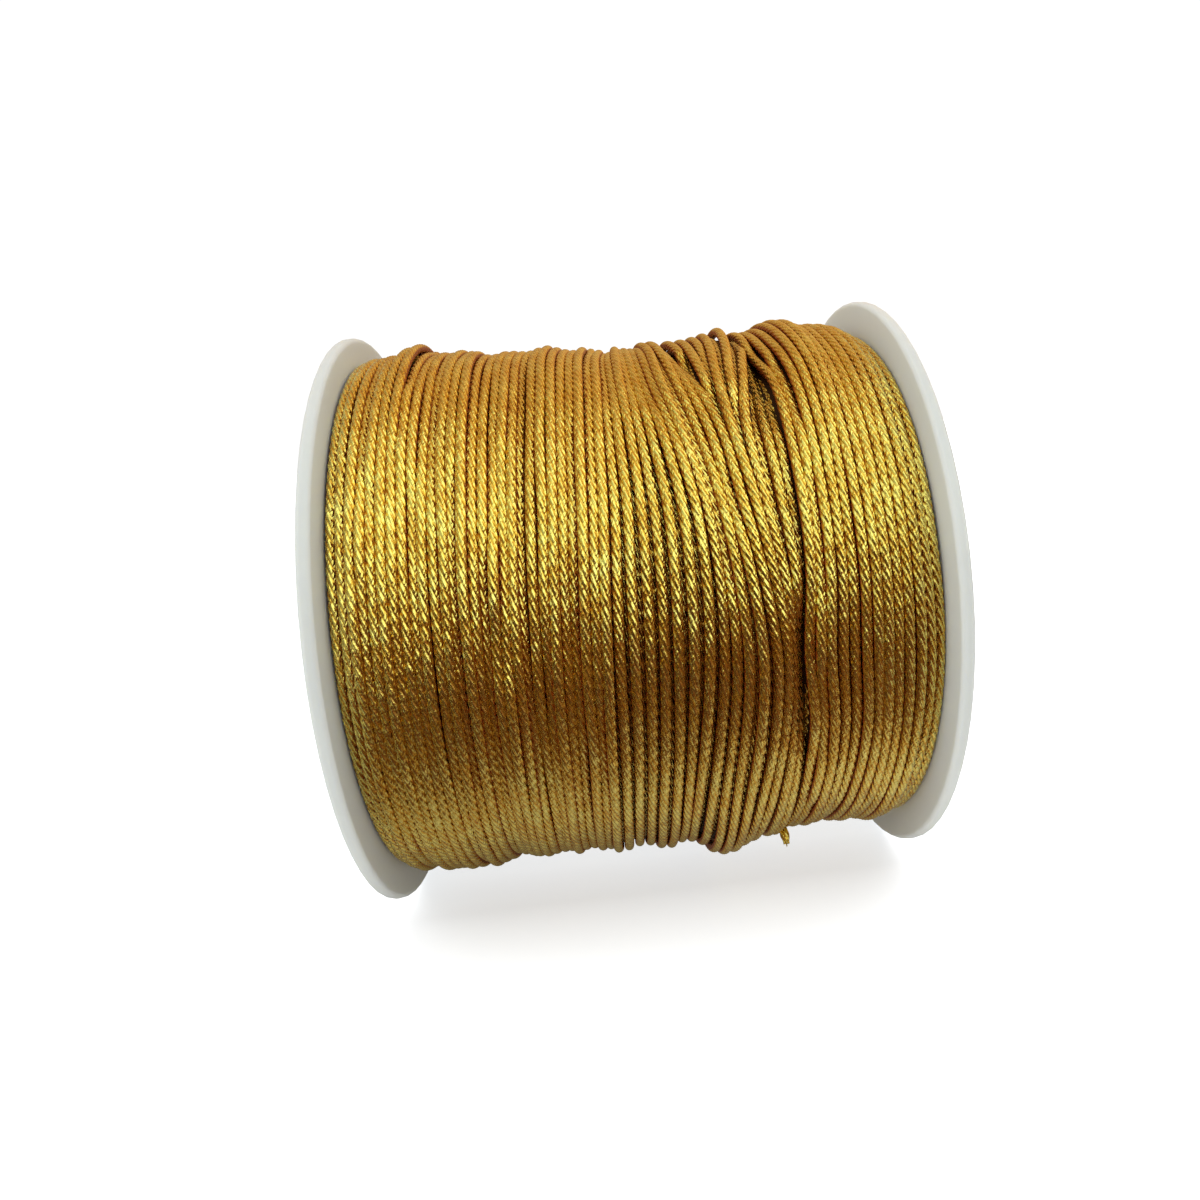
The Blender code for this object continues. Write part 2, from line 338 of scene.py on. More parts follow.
FIELDS = (
    Field("left_turns", "left", "middle", 27, 1, 1),
    Field("middle_turns", "middle", "fan", 8, 1, 1),
    Field("leaning_turns", "fan", "lean", 4, 1, 1),
    Field("diving_turns", "lean", "over", 1, 3, 1),
    Field("last_turns", "over", "hold", 1, 2, 4),
    Field("late_turns", "hold", "late", 1, 1, 3),
    Field("furrow_turns", "late", "back", 1, 2, 2),
    Field("right_turns", "back", "right", 12, 1, 3),
)
EVEN_FIELDS = ("left_turns", "middle_turns", "right_turns")
Dive = namedtuple("Dive", "turn middle_angle reach ease depth")
DIVES = (
    Dive("late", -15, 48, 22, 1.15 * MM),
    Dive("left", 300, 30, 30, 0.9 * MM),
    Dive("right", 215, 30, 30, 0.9 * MM),
)
# Hand winding is uneven. Neighbours wander together, each turn wanders on its own, and each
# lies a little higher or lower.
GROUP_WANDER, GROUP_WAVES = 0.10 * MM, 5
GROUP_REACH = (0.8, 2.4)  # turns
TURN_WANDER, TURN_WAVES = 0.045 * MM, 12
HEIGHT_WANDER, HEIGHT_WAVES = 0.035 * MM, 9
HEIGHT_CHANCE = 0.05 * MM
SIDE_CONTACT = 0.88 * CORD_DIAMETER  # turns side by side are squeezed this close
PRESSING_TURNS = 3.6  # turns that lie farther apart in the row don't press each other
# The cord is soft, so that a turn under others is pressed no deeper than this.
DEEPEST_EVEN, DEEPEST_CROSSING, DEEPEST_UNDER = 0.45 * MM, 1.10 * MM, 1.35 * MM
SOFTENED_STEPS = 13  # a bend in a turn is no sharper than this many steps


def round_the_axis(at, value):
    """A smooth curve through values at angles, closed round the axis."""
    at = np.concatenate([at[-2:] - 360.0, at, at[:3] + 360.0])
    value = np.concatenate([value[-2:], value, value[:3]])
    slope = np.zeros_like(value)
    slope[1:-1] = (value[2:] - value[:-2]) / (at[2:] - at[:-2])
    i = np.clip(np.searchsorted(at, angles, side="right") - 1, 1, len(at) - 3)
    width = at[i + 1] - at[i]
    t = (angles - at[i]) / width
    start = (1 + 2 * t) * (1 - t) ** 2 * value[i] + t * (1 - t) ** 2 * width * slope[i]
    end = t**2 * (3 - 2 * t) * value[i + 1] - t**2 * (1 - t) * width * slope[i + 1]
    return start + end


station_angles = np.array([row.angle for row in STATIONS], float)
chosen = {}
for turn in CHOSEN_TURNS.split():
    places = np.array([getattr(row, turn) for row in STATIONS])
    chosen[turn] = round_the_axis(station_angles, places) * MM


def soft_waves(strength, highest):
    """A smooth chance curve, closed round the axis."""
    wave = np.zeros(STEPS_PER_TURN)
    for k in range(1, highest + 1):
        height = chance.normal() / k**0.7
        wave += height * np.cos(np.radians(angles) * k + chance.uniform(0, 2 * np.pi))
    return wave * strength


def eased(share):
    """A share that starts and ends softly, kept between 0 and 1."""
    share = np.clip(share, 0, 1)
    return share * share * (3 - 2 * share)


def solid_radius(node):
    """The wound solid's outer radius, one row a place along the axis, one column an angle."""
    mesh = node.data
    points = np.empty(len(mesh.vertices) * 3)
    mesh.vertices.foreach_get("co", points)
    points = points.reshape(-1, 3)
    forward, up = -points[:, 1], points[:, 2] - axis_height
    radius = np.hypot(forward, up)
    turned = np.degrees(np.arctan2(forward, up)) % 360.0
    outer = radius > 0.75 * radius.max()  # the inside of the ring is left out
    rows = np.unique(np.round(points[outer, 0], 5))
    grid = np.zeros((len(rows), STEPS_PER_TURN))
    for i, x in enumerate(rows):
        here = outer & (np.abs(points[:, 0] - x) < 0.01 * MM)
        grid[i] = np.interp(angles, turned[here], radius[here], period=360.0)
    return rows, grid


wound_rows, wound_grid = solid_radius(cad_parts["wound_cord"])


def base_radius(x):
    """The solid's radius at each angle, for a turn with one place along the axis an angle."""
    spot = np.interp(x, wound_rows, np.arange(len(wound_rows)))
    low = np.minimum(spot.astype(int), len(wound_rows) - 2)
    part = spot - low
    step = np.arange(STEPS_PER_TURN)
    return wound_grid[low, step] * (1 - part) + wound_grid[low + 1, step] * part


def dive_depth(turn):
    """How far a chosen turn is sunk below the surface at each angle."""
    depth = np.zeros(STEPS_PER_TURN)
    for dive in DIVES:
        if dive.turn == turn:
            off = np.abs((angles - dive.middle_angle + 180) % 360 - 180)
            depth += dive.depth * eased((dive.reach + dive.ease - off) / dive.ease)
    return depth


# Level 0 is the top layer. A turn of level 1 lies between two of level 0, and one of level 2
# between those. In the row they count as parts of a turn. A crowded turn of lower rank gives
# way to one of higher rank.
Turn = namedtuple("Turn", "field level row_place rank x sunk")
LaidTurn = namedtuple("LaidTurn", "field level x radius")


def spread_turns():
    """Every turn of the two top layers from left to right, before they press each other."""
    spread = []
    before = 0
    for field in FIELDS:
        parts = 2**field.spares
        start, end = chosen[field.start], chosen[field.end]
        for n in range(field.turns * parts):
            level = 0 if n % parts == 0 else field.spares - (n & -n).bit_length() + 1
            rank = -level if level else field.rank + chance.uniform(0, 0.9)
            share = n / (field.turns * parts)
            x = start * (1 - share) + end * share
            sunk = dive_depth(field.start) if n == 0 else np.zeros(STEPS_PER_TURN)
            spread.append(Turn(field.name, level, before + n / parts, rank, x, sunk))
        before += field.turns
    last = FIELDS[-1]
    spread.append(Turn(last.name, 0, before, last.rank, chosen["right"], dive_depth("right")))
    return spread


def wander_along(spread):
    """Where each turn lies along the axis, uneven as a hand winder leaves it."""
    x = np.array([turn.x for turn in spread])
    row = np.array([turn.row_place for turn in spread])
    for _ in range(int(row[-1]) // 3):
        middle, reach = chance.uniform(0, row[-1]), chance.uniform(*GROUP_REACH)
        nearness = np.exp(-(((row - middle) / reach) ** 2))
        x = x + nearness[:, None] * soft_waves(GROUP_WANDER, GROUP_WAVES)[None, :]
    for i in range(len(x)):
        x[i] += soft_waves(TURN_WANDER, TURN_WAVES)
    top = [i for i, turn in enumerate(spread) if turn.level == 0]
    seam_steps = SEAM_EASE / 360 * STEPS_PER_TURN
    seam_ease = eased(1 - np.arange(STEPS_PER_TURN)[::-1] / seam_steps)
    for i, following in zip(top, top[1:]):
        x[i] = x[i] * (1 - seam_ease) + x[following] * seam_ease
    return np.clip(x, chosen["left"].min(), chosen["right"].max())


def press_turns(spread, x):
    """The radius of each turn. Where turns cross or crowd, the one of higher rank stays and
    the other gives way, so a turn of the lower levels comes up only where the top ones part."""
    radius = np.array([base_radius(x[i]) - CORD_DIAMETER / 2 - turn.sunk for i, turn in enumerate(spread)])
    for i in range(len(x)):
        radius[i] += soft_waves(HEIGHT_WANDER, HEIGHT_WAVES) + chance.normal() * HEIGHT_CHANCE
    resting = radius.copy()
    row = np.array([turn.row_place for turn in spread])
    ranks = [turn.rank for turn in spread]
    for i in sorted(range(len(x)), key=lambda i: (-ranks[i], -i)):
        for j in np.flatnonzero(np.abs(row - row[i]) < PRESSING_TURNS):
            if ranks[j] > ranks[i] or (ranks[j] == ranks[i] and j > i):
                both_on_top = spread[i].level == 0 and spread[j].level == 0
                contact = SIDE_CONTACT if both_on_top else CORD_DIAMETER
                roundness = 0.8 if both_on_top else 0.5
                apart = np.abs(x[i] - x[j]) / contact
                lift = CORD_DIAMETER * np.clip(1 - apart**2, 0, None) ** roundness
                radius[i] = np.where(apart < 1, np.minimum(radius[i], radius[j] - lift), radius[i])
    for i, turn in enumerate(spread):
        deepest = DEEPEST_EVEN if turn.field in EVEN_FIELDS else DEEPEST_CROSSING
        radius[i] = np.maximum(radius[i], resting[i] - (DEEPEST_UNDER if turn.level else deepest))
    return radius


def soften_turns(spread, radius):
    """The radii without sharp bends. A top turn goes on from the one before it into the next,
    and a turn of the lower levels is a ring that closes on itself."""
    top = [i for i, turn in enumerate(spread) if turn.level == 0]
    soft = np.hanning(SOFTENED_STEPS)
    soft /= soft.sum()
    beyond = SOFTENED_STEPS // 2
    softened = []
    for i, turn in enumerate(spread):
        before_it, after_it = radius[i][-beyond:], radius[i][:beyond]
        if turn.level == 0:
            spot = top.index(i)
            before_it = radius[top[spot - 1]][-beyond:] if spot else np.full(beyond, radius[i][0])
            is_last = spot + 1 == len(top)
            after_it = np.full(beyond, radius[i][-1]) if is_last else radius[top[spot + 1]][:beyond]
        joined = np.concatenate([before_it, radius[i], after_it])
        softened.append(np.convolve(joined, soft, mode="valid"))
    return softened


spread = spread_turns()
spread_x = wander_along(spread)
spread_radius = soften_turns(spread, press_turns(spread, spread_x))
turns = [
    LaidTurn(turn.field, turn.level, x, radius)
    for turn, x, radius in zip(spread, spread_x, spread_radius)
]


# The braid itself. Twelve metallic yarns are plaited round each other, six going each way,
# into a firm round cord. The six that lie highest make slanting ridges on it, and the
# finer crossings are in the material.
RIDGE_LAY = -6.4 * MM  # a yarn goes once round the cord in this length, leaning to the left
Braid = namedtuple("Braid", "ridges ridge_out ridge_in diameter")
CORD_BRAID = Braid(6, 1.02, 0.92, CORD_DIAMETER)
BraidRun = namedtuple("BraidRun", "points outward")
FREE_FACING = 0.78  # how open to the light a tube is that stands free, all the way round
STRIP_MARGIN = 0.03  # between two strips of the bake map


def mesh_from_parts(name, vertices, quads, triangles):
    """A smooth shaded mesh from arrays of corners, four sided and three sided faces."""
    mesh = bpy.data.meshes.new(name)
    mesh.vertices.add(len(vertices))
    mesh.vertices.foreach_set("co", vertices.reshape(-1))
    loops = np.concatenate([quads.reshape(-1), triangles.reshape(-1)])
    mesh.loops.add(len(loops))
    mesh.loops.foreach_set("vertex_index", loops)
    starts = np.concatenate([np.arange(len(quads)) * 4, quads.size + np.arange(len(triangles)) * 3])
    mesh.polygons.add(len(starts))
    mesh.polygons.foreach_set("loop_start", starts)
    mesh.polygons.foreach_set("use_smooth", np.ones(len(starts), bool))
    return mesh


def grid_quads(rows, next_rows, columns):
    """Four sided faces between rows of points, each row closed on itself."""
    column = np.arange(columns)[None, :]
    following = (column + 1) % columns
    here, there = rows[:, None] * columns, next_rows[:, None] * columns
    corners = [here + column, here + following, there + following, there + column]
    return np.stack(corners, -1).reshape(-1, 4)


def cord_mesh(name, run, braid, travelled=0.0, taper=None, free=False):
    """A closed tube with twisted ridges along a run of points.

    The map "OFBake" lays each turn in a strip of its own. The map "braid" counts
    millimetres of cord and turns round it. "outward" is 1 where a point of the tube faces
    away from the roll and -1 where it faces in.
    """
    points, outward = run
    sides = 2 * braid.ridges
    count = len(points)
    ahead = np.gradient(points, axis=0)
    ahead /= np.linalg.norm(ahead, axis=1)[:, None]
    outward = outward - (outward * ahead).sum(1)[:, None] * ahead
    outward /= np.linalg.norm(outward, axis=1)[:, None]
    sideways = np.cross(ahead, outward)
    steps = np.linalg.norm(np.diff(points, axis=0), axis=1)
    length = travelled + np.concatenate([[0.0], np.cumsum(steps)])
    side = np.arange(sides)
    turned = 2 * np.pi * (side[None, :] / sides + length[:, None] / RIDGE_LAY)
    size = np.where(side % 2 == 0, braid.ridge_out, braid.ridge_in) * braid.diameter / 2
    size = np.broadcast_to(size, (count, sides))
    if taper is not None:
        size = size * taper[:, None]
    cosine, sine = np.cos(turned)[..., None], np.sin(turned)[..., None]
    spokes = cosine * outward[:, None, :] + sine * sideways[:, None, :]
    rings = points[:, None, :] + size[..., None] * spokes
    vertices = np.concatenate([rings.reshape(-1, 3), points[:1], points[-1:]])
    quads = grid_quads(np.arange(count - 1), np.arange(1, count), sides)
    first, last = count * sides, count * sides + 1
    following = (side + 1) % sides
    last_ring = (count - 1) * sides
    head = np.stack([np.full(sides, first), following, side], -1)
    tail = np.stack([np.full(sides, last), last_ring + side, last_ring + following], -1)
    mesh = mesh_from_parts(name, vertices, quads, np.concatenate([head, tail]))

    along = length / MM
    strip = np.arange(count - 1) // STEPS_PER_TURN
    in_strip = (np.arange(count - 1) % STEPS_PER_TURN) / STEPS_PER_TURN
    low, high = side / sides, (side + 1) / sides
    every_side = np.ones((count - 1, sides))
    start, end = along[:-1, None] * every_side, along[1:, None] * every_side
    braid_u = np.stack([start, start, end, end], -1)
    braid_v = np.stack([low * every_side, high * every_side, high * every_side, low * every_side], -1)
    near = in_strip[:, None] * every_side
    far = near + 1 / STEPS_PER_TURN
    bake_u = np.stack([near, near, far, far], -1)
    bake_v = STRIP_MARGIN + (1 - 2 * STRIP_MARGIN) * braid_v
    bake_v = (strip[:, None, None] + bake_v) / (strip[-1] + 1)
    for label, u, v, cap_u in (("OFBake", bake_u, bake_v, 0.0), ("braid", braid_u, braid_v, along[0])):
        caps = np.zeros(head.size + tail.size)
        u, v = np.append(u, caps + cap_u), np.append(v, caps)
        mesh.uv_layers.new(name=label).data.foreach_set("uv", np.stack([u, v], -1).reshape(-1))
    facing_out = mesh.attributes.new("outward", "FLOAT", "POINT")
    facing = np.full(turned.size, FREE_FACING) if free else np.cos(turned).reshape(-1)
    facing_out.data.foreach_set("value", np.append(facing, [1.0, 1.0]))
    mesh.update(calc_edges=True)
    mesh.validate()
    return mesh, length[-1]


def run_through(laid):
    """One run of cord through turns that follow each other."""
    x = np.concatenate([turn.x for turn in laid])
    radius = np.concatenate([turn.radius for turn in laid])
    turned = np.radians(np.tile(angles, len(laid)))
    out = np.stack([np.zeros_like(turned), -np.sin(turned), np.cos(turned)], -1)
    places = out * radius[:, None]
    places[:, 0] = x
    places[:, 2] += axis_height
    return BraidRun(places, out)


def part_of(run, steps):
    """The part of a run that a slice of its steps takes."""
    return BraidRun(run.points[steps], run.outward[steps])


def plait_group():
    """The plait: how high each spot lies, where a yarn of the other hand is on top, and how
    each short length of yarn tilts on its own, so that some catch the light and some don't."""
    tree = bpy.data.node_groups.new("plait", "ShaderNodeTree")
    for label, default in (("Lay", 6.4), ("Yarns", 6.0)):
        socket = tree.interface.new_socket(label, in_out="INPUT", socket_type="NodeSocketFloat")
        socket.default_value = default
    for label in ("Height", "Crossed", "Tilt", "Chance"):
        tree.interface.new_socket(label, in_out="OUTPUT", socket_type="NodeSocketFloat")
    entry = tree.nodes.new("NodeGroupInput")
    leave = tree.nodes.new("NodeGroupOutput")
    place = tree.nodes.new("ShaderNodeUVMap")
    place.uv_map = "braid"
    split = tree.nodes.new("ShaderNodeSeparateXYZ")
    tree.links.new(place.outputs["UV"], split.inputs[0])
    along, around = split.outputs["X"], split.outputs["Y"]
    own = maths(tree, "MULTIPLY", around, entry.outputs["Yarns"])
    laps = maths(tree, "DIVIDE", maths(tree, "MULTIPLY", along, 2.0), entry.outputs["Lay"])
    other = maths(tree, "MULTIPLY", maths(tree, "SUBTRACT", around, laps), entry.outputs["Yarns"])
    own_wave = maths(tree, "COSINE", maths(tree, "MULTIPLY", own, np.pi))
    other_wave = maths(tree, "COSINE", maths(tree, "MULTIPLY", other, np.pi))
    crossing = maths(tree, "MULTIPLY", own_wave, other_wave)
    on_top = maths(tree, "MULTIPLY_ADD", crossing, -1.6, -0.2, clamp=True)
    own_crown = maths(tree, "MULTIPLY", own_wave, own_wave)
    other_crown = maths(tree, "MULTIPLY", other_wave, other_wave)
    gap = maths(tree, "SUBTRACT", other_crown, own_crown)
    tree.links.new(maths(tree, "MULTIPLY_ADD", gap, on_top, own_crown), leave.inputs["Height"])
    tree.links.new(on_top, leave.inputs["Crossed"])
    own_yarn, other_yarn = maths(tree, "ROUND", own), maths(tree, "ROUND", other)
    number = tree.nodes.new("ShaderNodeCombineXYZ")
    tree.links.new(maths(tree, "MODULO", own_yarn, entry.outputs["Yarns"]), number.inputs["X"])
    tree.links.new(maths(tree, "SUBTRACT", own_yarn, other_yarn), number.inputs["Y"])
    drawn = tree.nodes.new("ShaderNodeTexWhiteNoise")
    drawn.noise_dimensions = "2D"
    tree.links.new(number.outputs[0], drawn.inputs["Vector"])
    lots = tree.nodes.new("ShaderNodeSeparateXYZ")
    tree.links.new(drawn.outputs["Color"], lots.inputs[0])
    tilts = []
    for lot, count, yarn in ((lots.outputs["X"], own, own_yarn), (lots.outputs["Y"], other, other_yarn)):
        slope = maths(tree, "SUBTRACT", lot, 0.5)
        tilts.append(maths(tree, "MULTIPLY", slope, maths(tree, "SUBTRACT", count, yarn)))
    tree.links.new(maths(tree, "ADD", *tilts), leave.inputs["Tilt"])
    tree.links.new(drawn.outputs["Value"], leave.inputs["Chance"])
    return tree


plait = plait_group()


def spots(tree, place, scale, detail=2.0):
    """Soft spots by chance all over a piece. A larger scale makes finer ones."""
    node = tree.nodes.new("ShaderNodeTexNoise")
    node.inputs["Scale"].default_value = scale
    node.inputs["Detail"].default_value = detail
    tree.links.new(place.outputs["Object"], node.inputs["Vector"])
    return node.outputs["Fac"]


BRIGHT_GOLD = (0.93, 0.84, 0.25)
WARM_GOLD = (0.74, 0.42, 0.035)
SHADED_GOLD = (0.28, 0.045, 0.004)


def gold_braid():
    """Metallic yarn: yellow gold on the crowns, orange lower down, red brown in the gaps. That darkening
    low in the plait, in the gaps and on the sides that face in towards the roll is painted shade; the
    yellow and orange also change at random over the cord.
    """
    material, tree, shader = new_material("gold_braid")
    plaited = tree.nodes.new("ShaderNodeGroup")
    plaited.node_tree = plait
    plaited.inputs["Lay"].default_value = abs(RIDGE_LAY) / MM
    plaited.inputs["Yarns"].default_value = float(CORD_BRAID.ridges)
    place = tree.nodes.new("ShaderNodeTexCoord")
    glint = spots(tree, place, 3600.0)
    broad = spots(tree, place, 420.0, 3.0)
    outward = tree.nodes.new("ShaderNodeAttribute")
    outward.attribute_name = "outward"
    crown = maths(tree, "MULTIPLY", glint, 0.5)
    crown = maths(tree, "MULTIPLY_ADD", plaited.outputs["Height"], 0.62, crown)
    crown = maths(tree, "MULTIPLY_ADD", plaited.outputs["Chance"], 0.36, crown)
    crown = maths(tree, "SUBTRACT", crown, maths(tree, "MULTIPLY_ADD", broad, 0.7, -0.35))
    crown = maths(tree, "MULTIPLY_ADD", plaited.outputs["Crossed"], -0.22, crown)
    # Painted shade: the sides of a turn that face in towards the roll and its neighbours get darker.
    open_side = maths(tree, "MULTIPLY_ADD", outward.outputs["Fac"], 2.0, -0.48, clamp=True)
    crown = maths(tree, "MULTIPLY", crown, open_side, clamp=True)
    shift = maths(tree, "MULTIPLY_ADD", broad, 0.8, -0.15, clamp=True)
    high = mix_colour(tree, shift, BRIGHT_GOLD, WARM_GOLD)
    # Painted shade: the lower a spot lies in the plait, the nearer its colour comes to red brown.
    low_share = maths(tree, "MULTIPLY", crown, 2.2, clamp=True)
    low = mix_colour(tree, low_share, SHADED_GOLD, WARM_GOLD)
    high_share = maths(tree, "MULTIPLY_ADD", crown, 2.6, -1.0, clamp=True)
    tree.links.new(mix_colour(tree, high_share, low, high), shader.inputs["Base Color"])
    tree.links.new(maths(tree, "MULTIPLY_ADD", glint, 0.20, 0.16), shader.inputs["Roughness"])
    foil = maths(tree, "MULTIPLY_ADD", crown, 1.2, 0.40, clamp=True)
    tree.links.new(foil, shader.inputs["Metallic"])
    bump = tree.nodes.new("ShaderNodeBump")
    bump.inputs["Strength"].default_value = 1.0
    bump.inputs["Distance"].default_value = 0.07 * MM
    relief = maths(tree, "MULTIPLY_ADD", glint, 0.60, plaited.outputs["Height"])
    relief = maths(tree, "MULTIPLY_ADD", plaited.outputs["Tilt"], 2.0, relief)
    tree.links.new(relief, bump.inputs["Height"])
    tree.links.new(bump.outputs["Normal"], shader.inputs["Normal"])
    return material


gold = gold_braid()


def add_cord_piece(mesh, material, node):
    """A piece of cord in its material, in place of the solid that stands for it."""
    mesh.materials.append(material)
    piece = add_mesh_object(mesh.name, mesh)
    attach(piece, "root")
    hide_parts(node)


# The top layer is one run from flange to flange, here in lengths of some turns each.
TURNS_PER_PIECE = 14
top_turns = [turn for turn in turns if turn.level == 0]
travelled = 0.0
first = 0
while first < len(top_turns):
    field = top_turns[first].field
    same_field = [turn.field == field for turn in top_turns[first : first + TURNS_PER_PIECE]]
    last = first + sum(same_field)
    run = run_through(top_turns[first : last + 1])
    if last < len(top_turns):
        run = part_of(run, slice((last - first) * STEPS_PER_TURN + 1))
    mesh, travelled = cord_mesh(f"{field}_{first:02d}", run, CORD_BRAID, travelled)
    add_cord_piece(mesh, gold, "wound_cord")
    first = last

# Where the top turns part, turns of the layer below come up between them.
RISEN_SHIFT = 7.0 * MM  # so that the braids of neighbours don't line up
risen_turns = [turn for turn in turns if turn.level and turn.field not in EVEN_FIELDS]
for n, turn in enumerate(risen_turns):
    run = part_of(run_through([turn, turn]), slice(STEPS_PER_TURN + 1))
    mesh, _ = cord_mesh(f"risen_turn_{n:02d}", run, CORD_BRAID, n * RISEN_SHIFT)
    add_cord_piece(mesh, gold, "wound_cord")


# The layer under the top one. Its turns lie in the grooves between the top turns, and they
# show only as gold at the bottom of the gaps, so they are plain tubes.
UNDER_EVERY = 4  # the under turns need only one step in four
UNDER_BRAID = Braid(3, 1.0, 1.0, CORD_DIAMETER)
for field in EVEN_FIELDS:
    under_turns = [turn for turn in turns if turn.level and turn.field == field]
    under_run = part_of(run_through(under_turns), slice(None, None, UNDER_EVERY))
    under_mesh, _ = cord_mesh(f"under_{field}", under_run, UNDER_BRAID)
    add_cord_piece(under_mesh, gold, "wound_cord")


# Everything below that: the deeper layers as one ribbed sleeve of the same yarn, which keeps
# daylight from showing between the turns. Its nearly black colour is painted shade.
UNDER_PITCH = 0.95 * MM
SLEEVE_END_GAP = 0.2 * MM
SLEEVE_DEPTH = 1.50 * MM
SLEEVE_RIB = 0.18 * MM
SLEEVE_COLUMNS = 120
SLEEVE_INNER = 12.0 * MM
sleeve_reach = chosen["right"].min() - SLEEVE_END_GAP
sleeve_steps = np.arange(SLEEVE_COLUMNS) * STEPS_PER_TURN // SLEEVE_COLUMNS
sleeve_rows = np.arange(-sleeve_reach, sleeve_reach, UNDER_PITCH / 2)
sleeve_wall = [np.full(SLEEVE_COLUMNS, SLEEVE_INNER)]
sleeve_radius = []
for n, x in enumerate(sleeve_rows):
    outer = base_radius(np.full(STEPS_PER_TURN, x))[sleeve_steps] - SLEEVE_DEPTH
    sleeve_radius.append(outer + (SLEEVE_RIB if n % 2 else 0.0))
sleeve_radius = np.array(sleeve_wall + sleeve_radius + sleeve_wall)
sleeve_x = np.concatenate([sleeve_rows[:1], sleeve_rows, sleeve_rows[-1:]])
sleeve_turned = np.radians(angles[sleeve_steps])[None, :]
sleeve_points = np.stack(
    [
        np.broadcast_to(sleeve_x[:, None], sleeve_radius.shape),
        -sleeve_radius * np.sin(sleeve_turned),
        sleeve_radius * np.cos(sleeve_turned) + axis_height,
    ],
    -1,
)
sleeve_row = np.arange(len(sleeve_x))
sleeve_quads = grid_quads(sleeve_row, (sleeve_row + 1) % len(sleeve_x), SLEEVE_COLUMNS)
no_triangles = np.zeros((0, 3), int)
sleeve_mesh = mesh_from_parts("deep_layers", sleeve_points.reshape(-1, 3), sleeve_quads, no_triangles)
sleeve_mesh.update(calc_edges=True)
sleeve_mesh.validate()
shaded_deep_gold, deep_tree, deep_shader = new_material("shaded_deep_gold")
deep_place = deep_tree.nodes.new("ShaderNodeTexCoord")
# Painted shade: the gold yarn as it looks deep in the shade, nearly black red brown.
painted_shade_colour = mix_colour(
    deep_tree, spots(deep_tree, deep_place, 1500.0), (0.015, 0.004, 0.001), (0.05, 0.015, 0.003)
)
deep_tree.links.new(painted_shade_colour, deep_shader.inputs["Base Color"])
deep_shader.inputs["Metallic"].default_value = 0.7
deep_shader.inputs["Roughness"].default_value = 0.5
add_cord_piece(sleeve_mesh, shaded_deep_gold, "wound_cord")


# The cut end of the cord. The last turn was snipped at the underside of the roll, and a
# short stub of it stands off the winding with its yarns spread at the tip.
END_STEPS = 44
END_ANGLES = (175.0, 153.0)
END_HURRY = 1.8  # the stub goes round the roll faster at its start
END_X = (12.3 * MM, 13.45 * MM)
END_SUNK, END_SUNK_SHARE = 0.9 * MM, 0.5
END_LIFT = 0.3 * CORD_DIAMETER
END_RISE = 1.95 * MM
END_RISES_FROM, END_RISE_BEND = 0.72, 1.5
END_TAPER, END_TAPERS_FROM = 0.30, 0.90
END_SMOOTHED = 9


def between(share, values):
    """The value at a share of the way from the first of two values to the second."""
    return values[0] + (values[1] - values[0]) * share


end_share = np.linspace(0, 1, END_STEPS)
end_angle = between(1 - (1 - end_share) ** END_HURRY, END_ANGLES)
end_x = between(eased(end_share), END_X)
end_step = np.round(end_angle / 360 * STEPS_PER_TURN).astype(int)
end_base = np.array([np.interp(x, wound_rows, wound_grid[:, s]) for x, s in zip(end_x, end_step)])
end_base = np.pad(end_base, END_SMOOTHED // 2, mode="edge")
end_base = np.convolve(end_base, np.ones(END_SMOOTHED) / END_SMOOTHED, mode="valid")
end_radius = end_base + END_LIFT - END_SUNK * (1 - eased(end_share / END_SUNK_SHARE))
rise_share = np.clip((end_share - END_RISES_FROM) / (1 - END_RISES_FROM), 0, 1)
end_radius = end_radius + END_RISE * rise_share**END_RISE_BEND
end_turned = np.radians(end_angle)
end_out = np.stack([np.zeros(END_STEPS), -np.sin(end_turned), np.cos(end_turned)], -1)
end_points = end_out * end_radius[:, None]
end_points[:, 0] = end_x
end_points[:, 2] += axis_height
end_run = BraidRun(end_points, end_out)
end_taper = 1.0 - END_TAPER * eased((end_share - END_TAPERS_FROM) / (1 - END_TAPERS_FROM))
end_mesh, _ = cord_mesh("cut_end", end_run, CORD_BRAID, travelled, taper=end_taper, free=True)
add_cord_piece(end_mesh, gold, "cord_end")

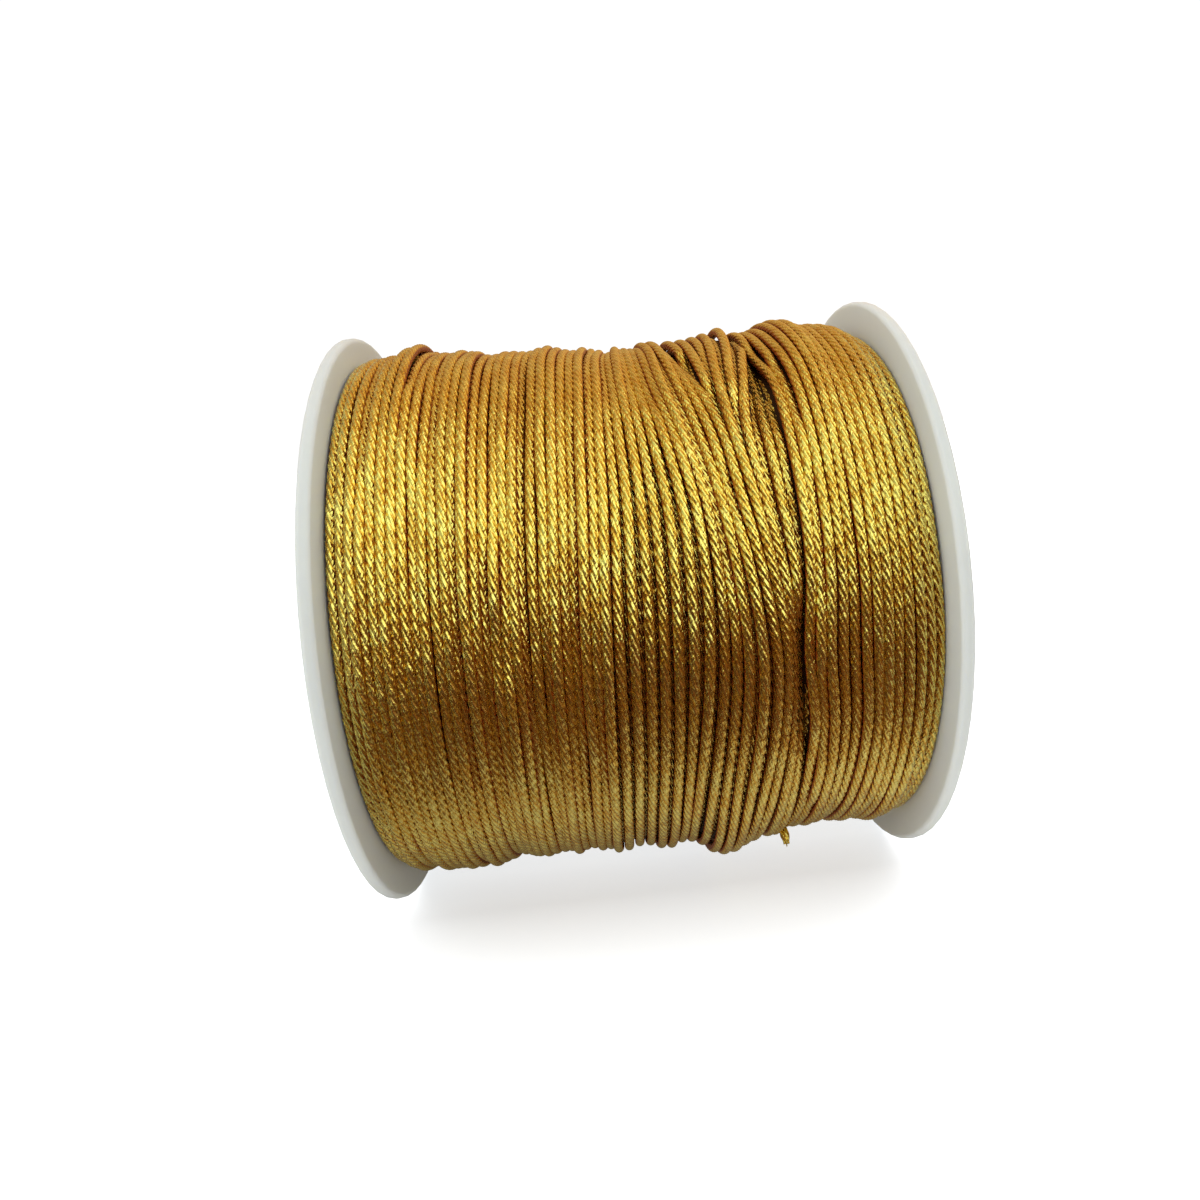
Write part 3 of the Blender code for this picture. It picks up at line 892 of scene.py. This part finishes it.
# The frayed yarns at its tip.
FIBRES = 16
FIBRE_BRAID = Braid(2, 1.0, 1.0, 0.09 * MM)
FIBRE_STEPS = 7
FIBRE_ROOT = 0.3 * MM  # inside the stub
FIBRE_REACH, FIBRE_OFF, FIBRE_BEND = (0.34, 0.50), (0.05, 0.20), (-0.10, 0.10)  # millimetres
tip, before_tip = end_points[-1], end_points[-4]
tip_ahead = (tip - before_tip) / np.linalg.norm(tip - before_tip)
tip_side = np.cross(tip_ahead, end_out[-1])
fibre_share = np.linspace(0, 1, FIBRE_STEPS)[:, None]
fibre_parts = []
for n in range(FIBRES):
    turned = 2 * np.pi * (n + chance.uniform(0, 0.6)) / FIBRES
    off = np.cos(turned) * end_out[-1] + np.sin(turned) * tip_side
    reach = chance.uniform(*FIBRE_REACH) * MM
    start = tip - tip_ahead * FIBRE_ROOT + off * chance.uniform(*FIBRE_OFF) * MM
    bend = off * chance.uniform(*FIBRE_BEND) * MM
    points = start + tip_ahead * reach * fibre_share + bend * fibre_share**2
    fibre_run = BraidRun(points, np.broadcast_to(off, points.shape))
    fibre, _ = cord_mesh(f"fibre_{n}", fibre_run, FIBRE_BRAID, free=True)
    fibre_parts.append(add_mesh_object(fibre.name, fibre))
with bpy.context.temp_override(
    active_object=fibre_parts[0], selected_editable_objects=fibre_parts, object=fibre_parts[0]
):
    bpy.ops.object.join()
frayed = fibre_parts[0]
frayed.name = "frayed_yarns"
frayed.data.materials.append(gold)
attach(frayed, "root")
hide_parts("cord_end")


# The spool, one moulding of milky polypropylene. Light goes some way into it, so it looks
# soft white and a little uneven, and its skin has a fine grain.
spool_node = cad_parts["spool"]
milky, milky_tree, milky_shader = new_material("milky_plastic")
milky_place = milky_tree.nodes.new("ShaderNodeTexCoord")
clouds = spots(milky_tree, milky_place, 55.0, 4.0)
milk = mix_colour(milky_tree, clouds, (0.615, 0.64, 0.615), (0.69, 0.715, 0.69))
milky_tree.links.new(milk, milky_shader.inputs["Base Color"])
grain = spots(milky_tree, milky_place, 1400.0, 3.0)
milky_rough = maths(milky_tree, "MULTIPLY_ADD", grain, 0.16, 0.24)
milky_tree.links.new(milky_rough, milky_shader.inputs["Roughness"])
milky_bump = milky_tree.nodes.new("ShaderNodeBump")
milky_bump.inputs["Strength"].default_value = 0.25
milky_bump.inputs["Distance"].default_value = 0.02 * MM
milky_tree.links.new(grain, milky_bump.inputs["Height"])
milky_tree.links.new(milky_bump.outputs["Normal"], milky_shader.inputs["Normal"])
milky_shader.inputs["Subsurface Weight"].default_value = 0.6
milky_shader.inputs["Subsurface Radius"].default_value = (1.0, 0.95, 0.8)
milky_shader.inputs["Subsurface Scale"].default_value = 1.2 * MM
for slot in spool_node.material_slots:
    slot.material = milky
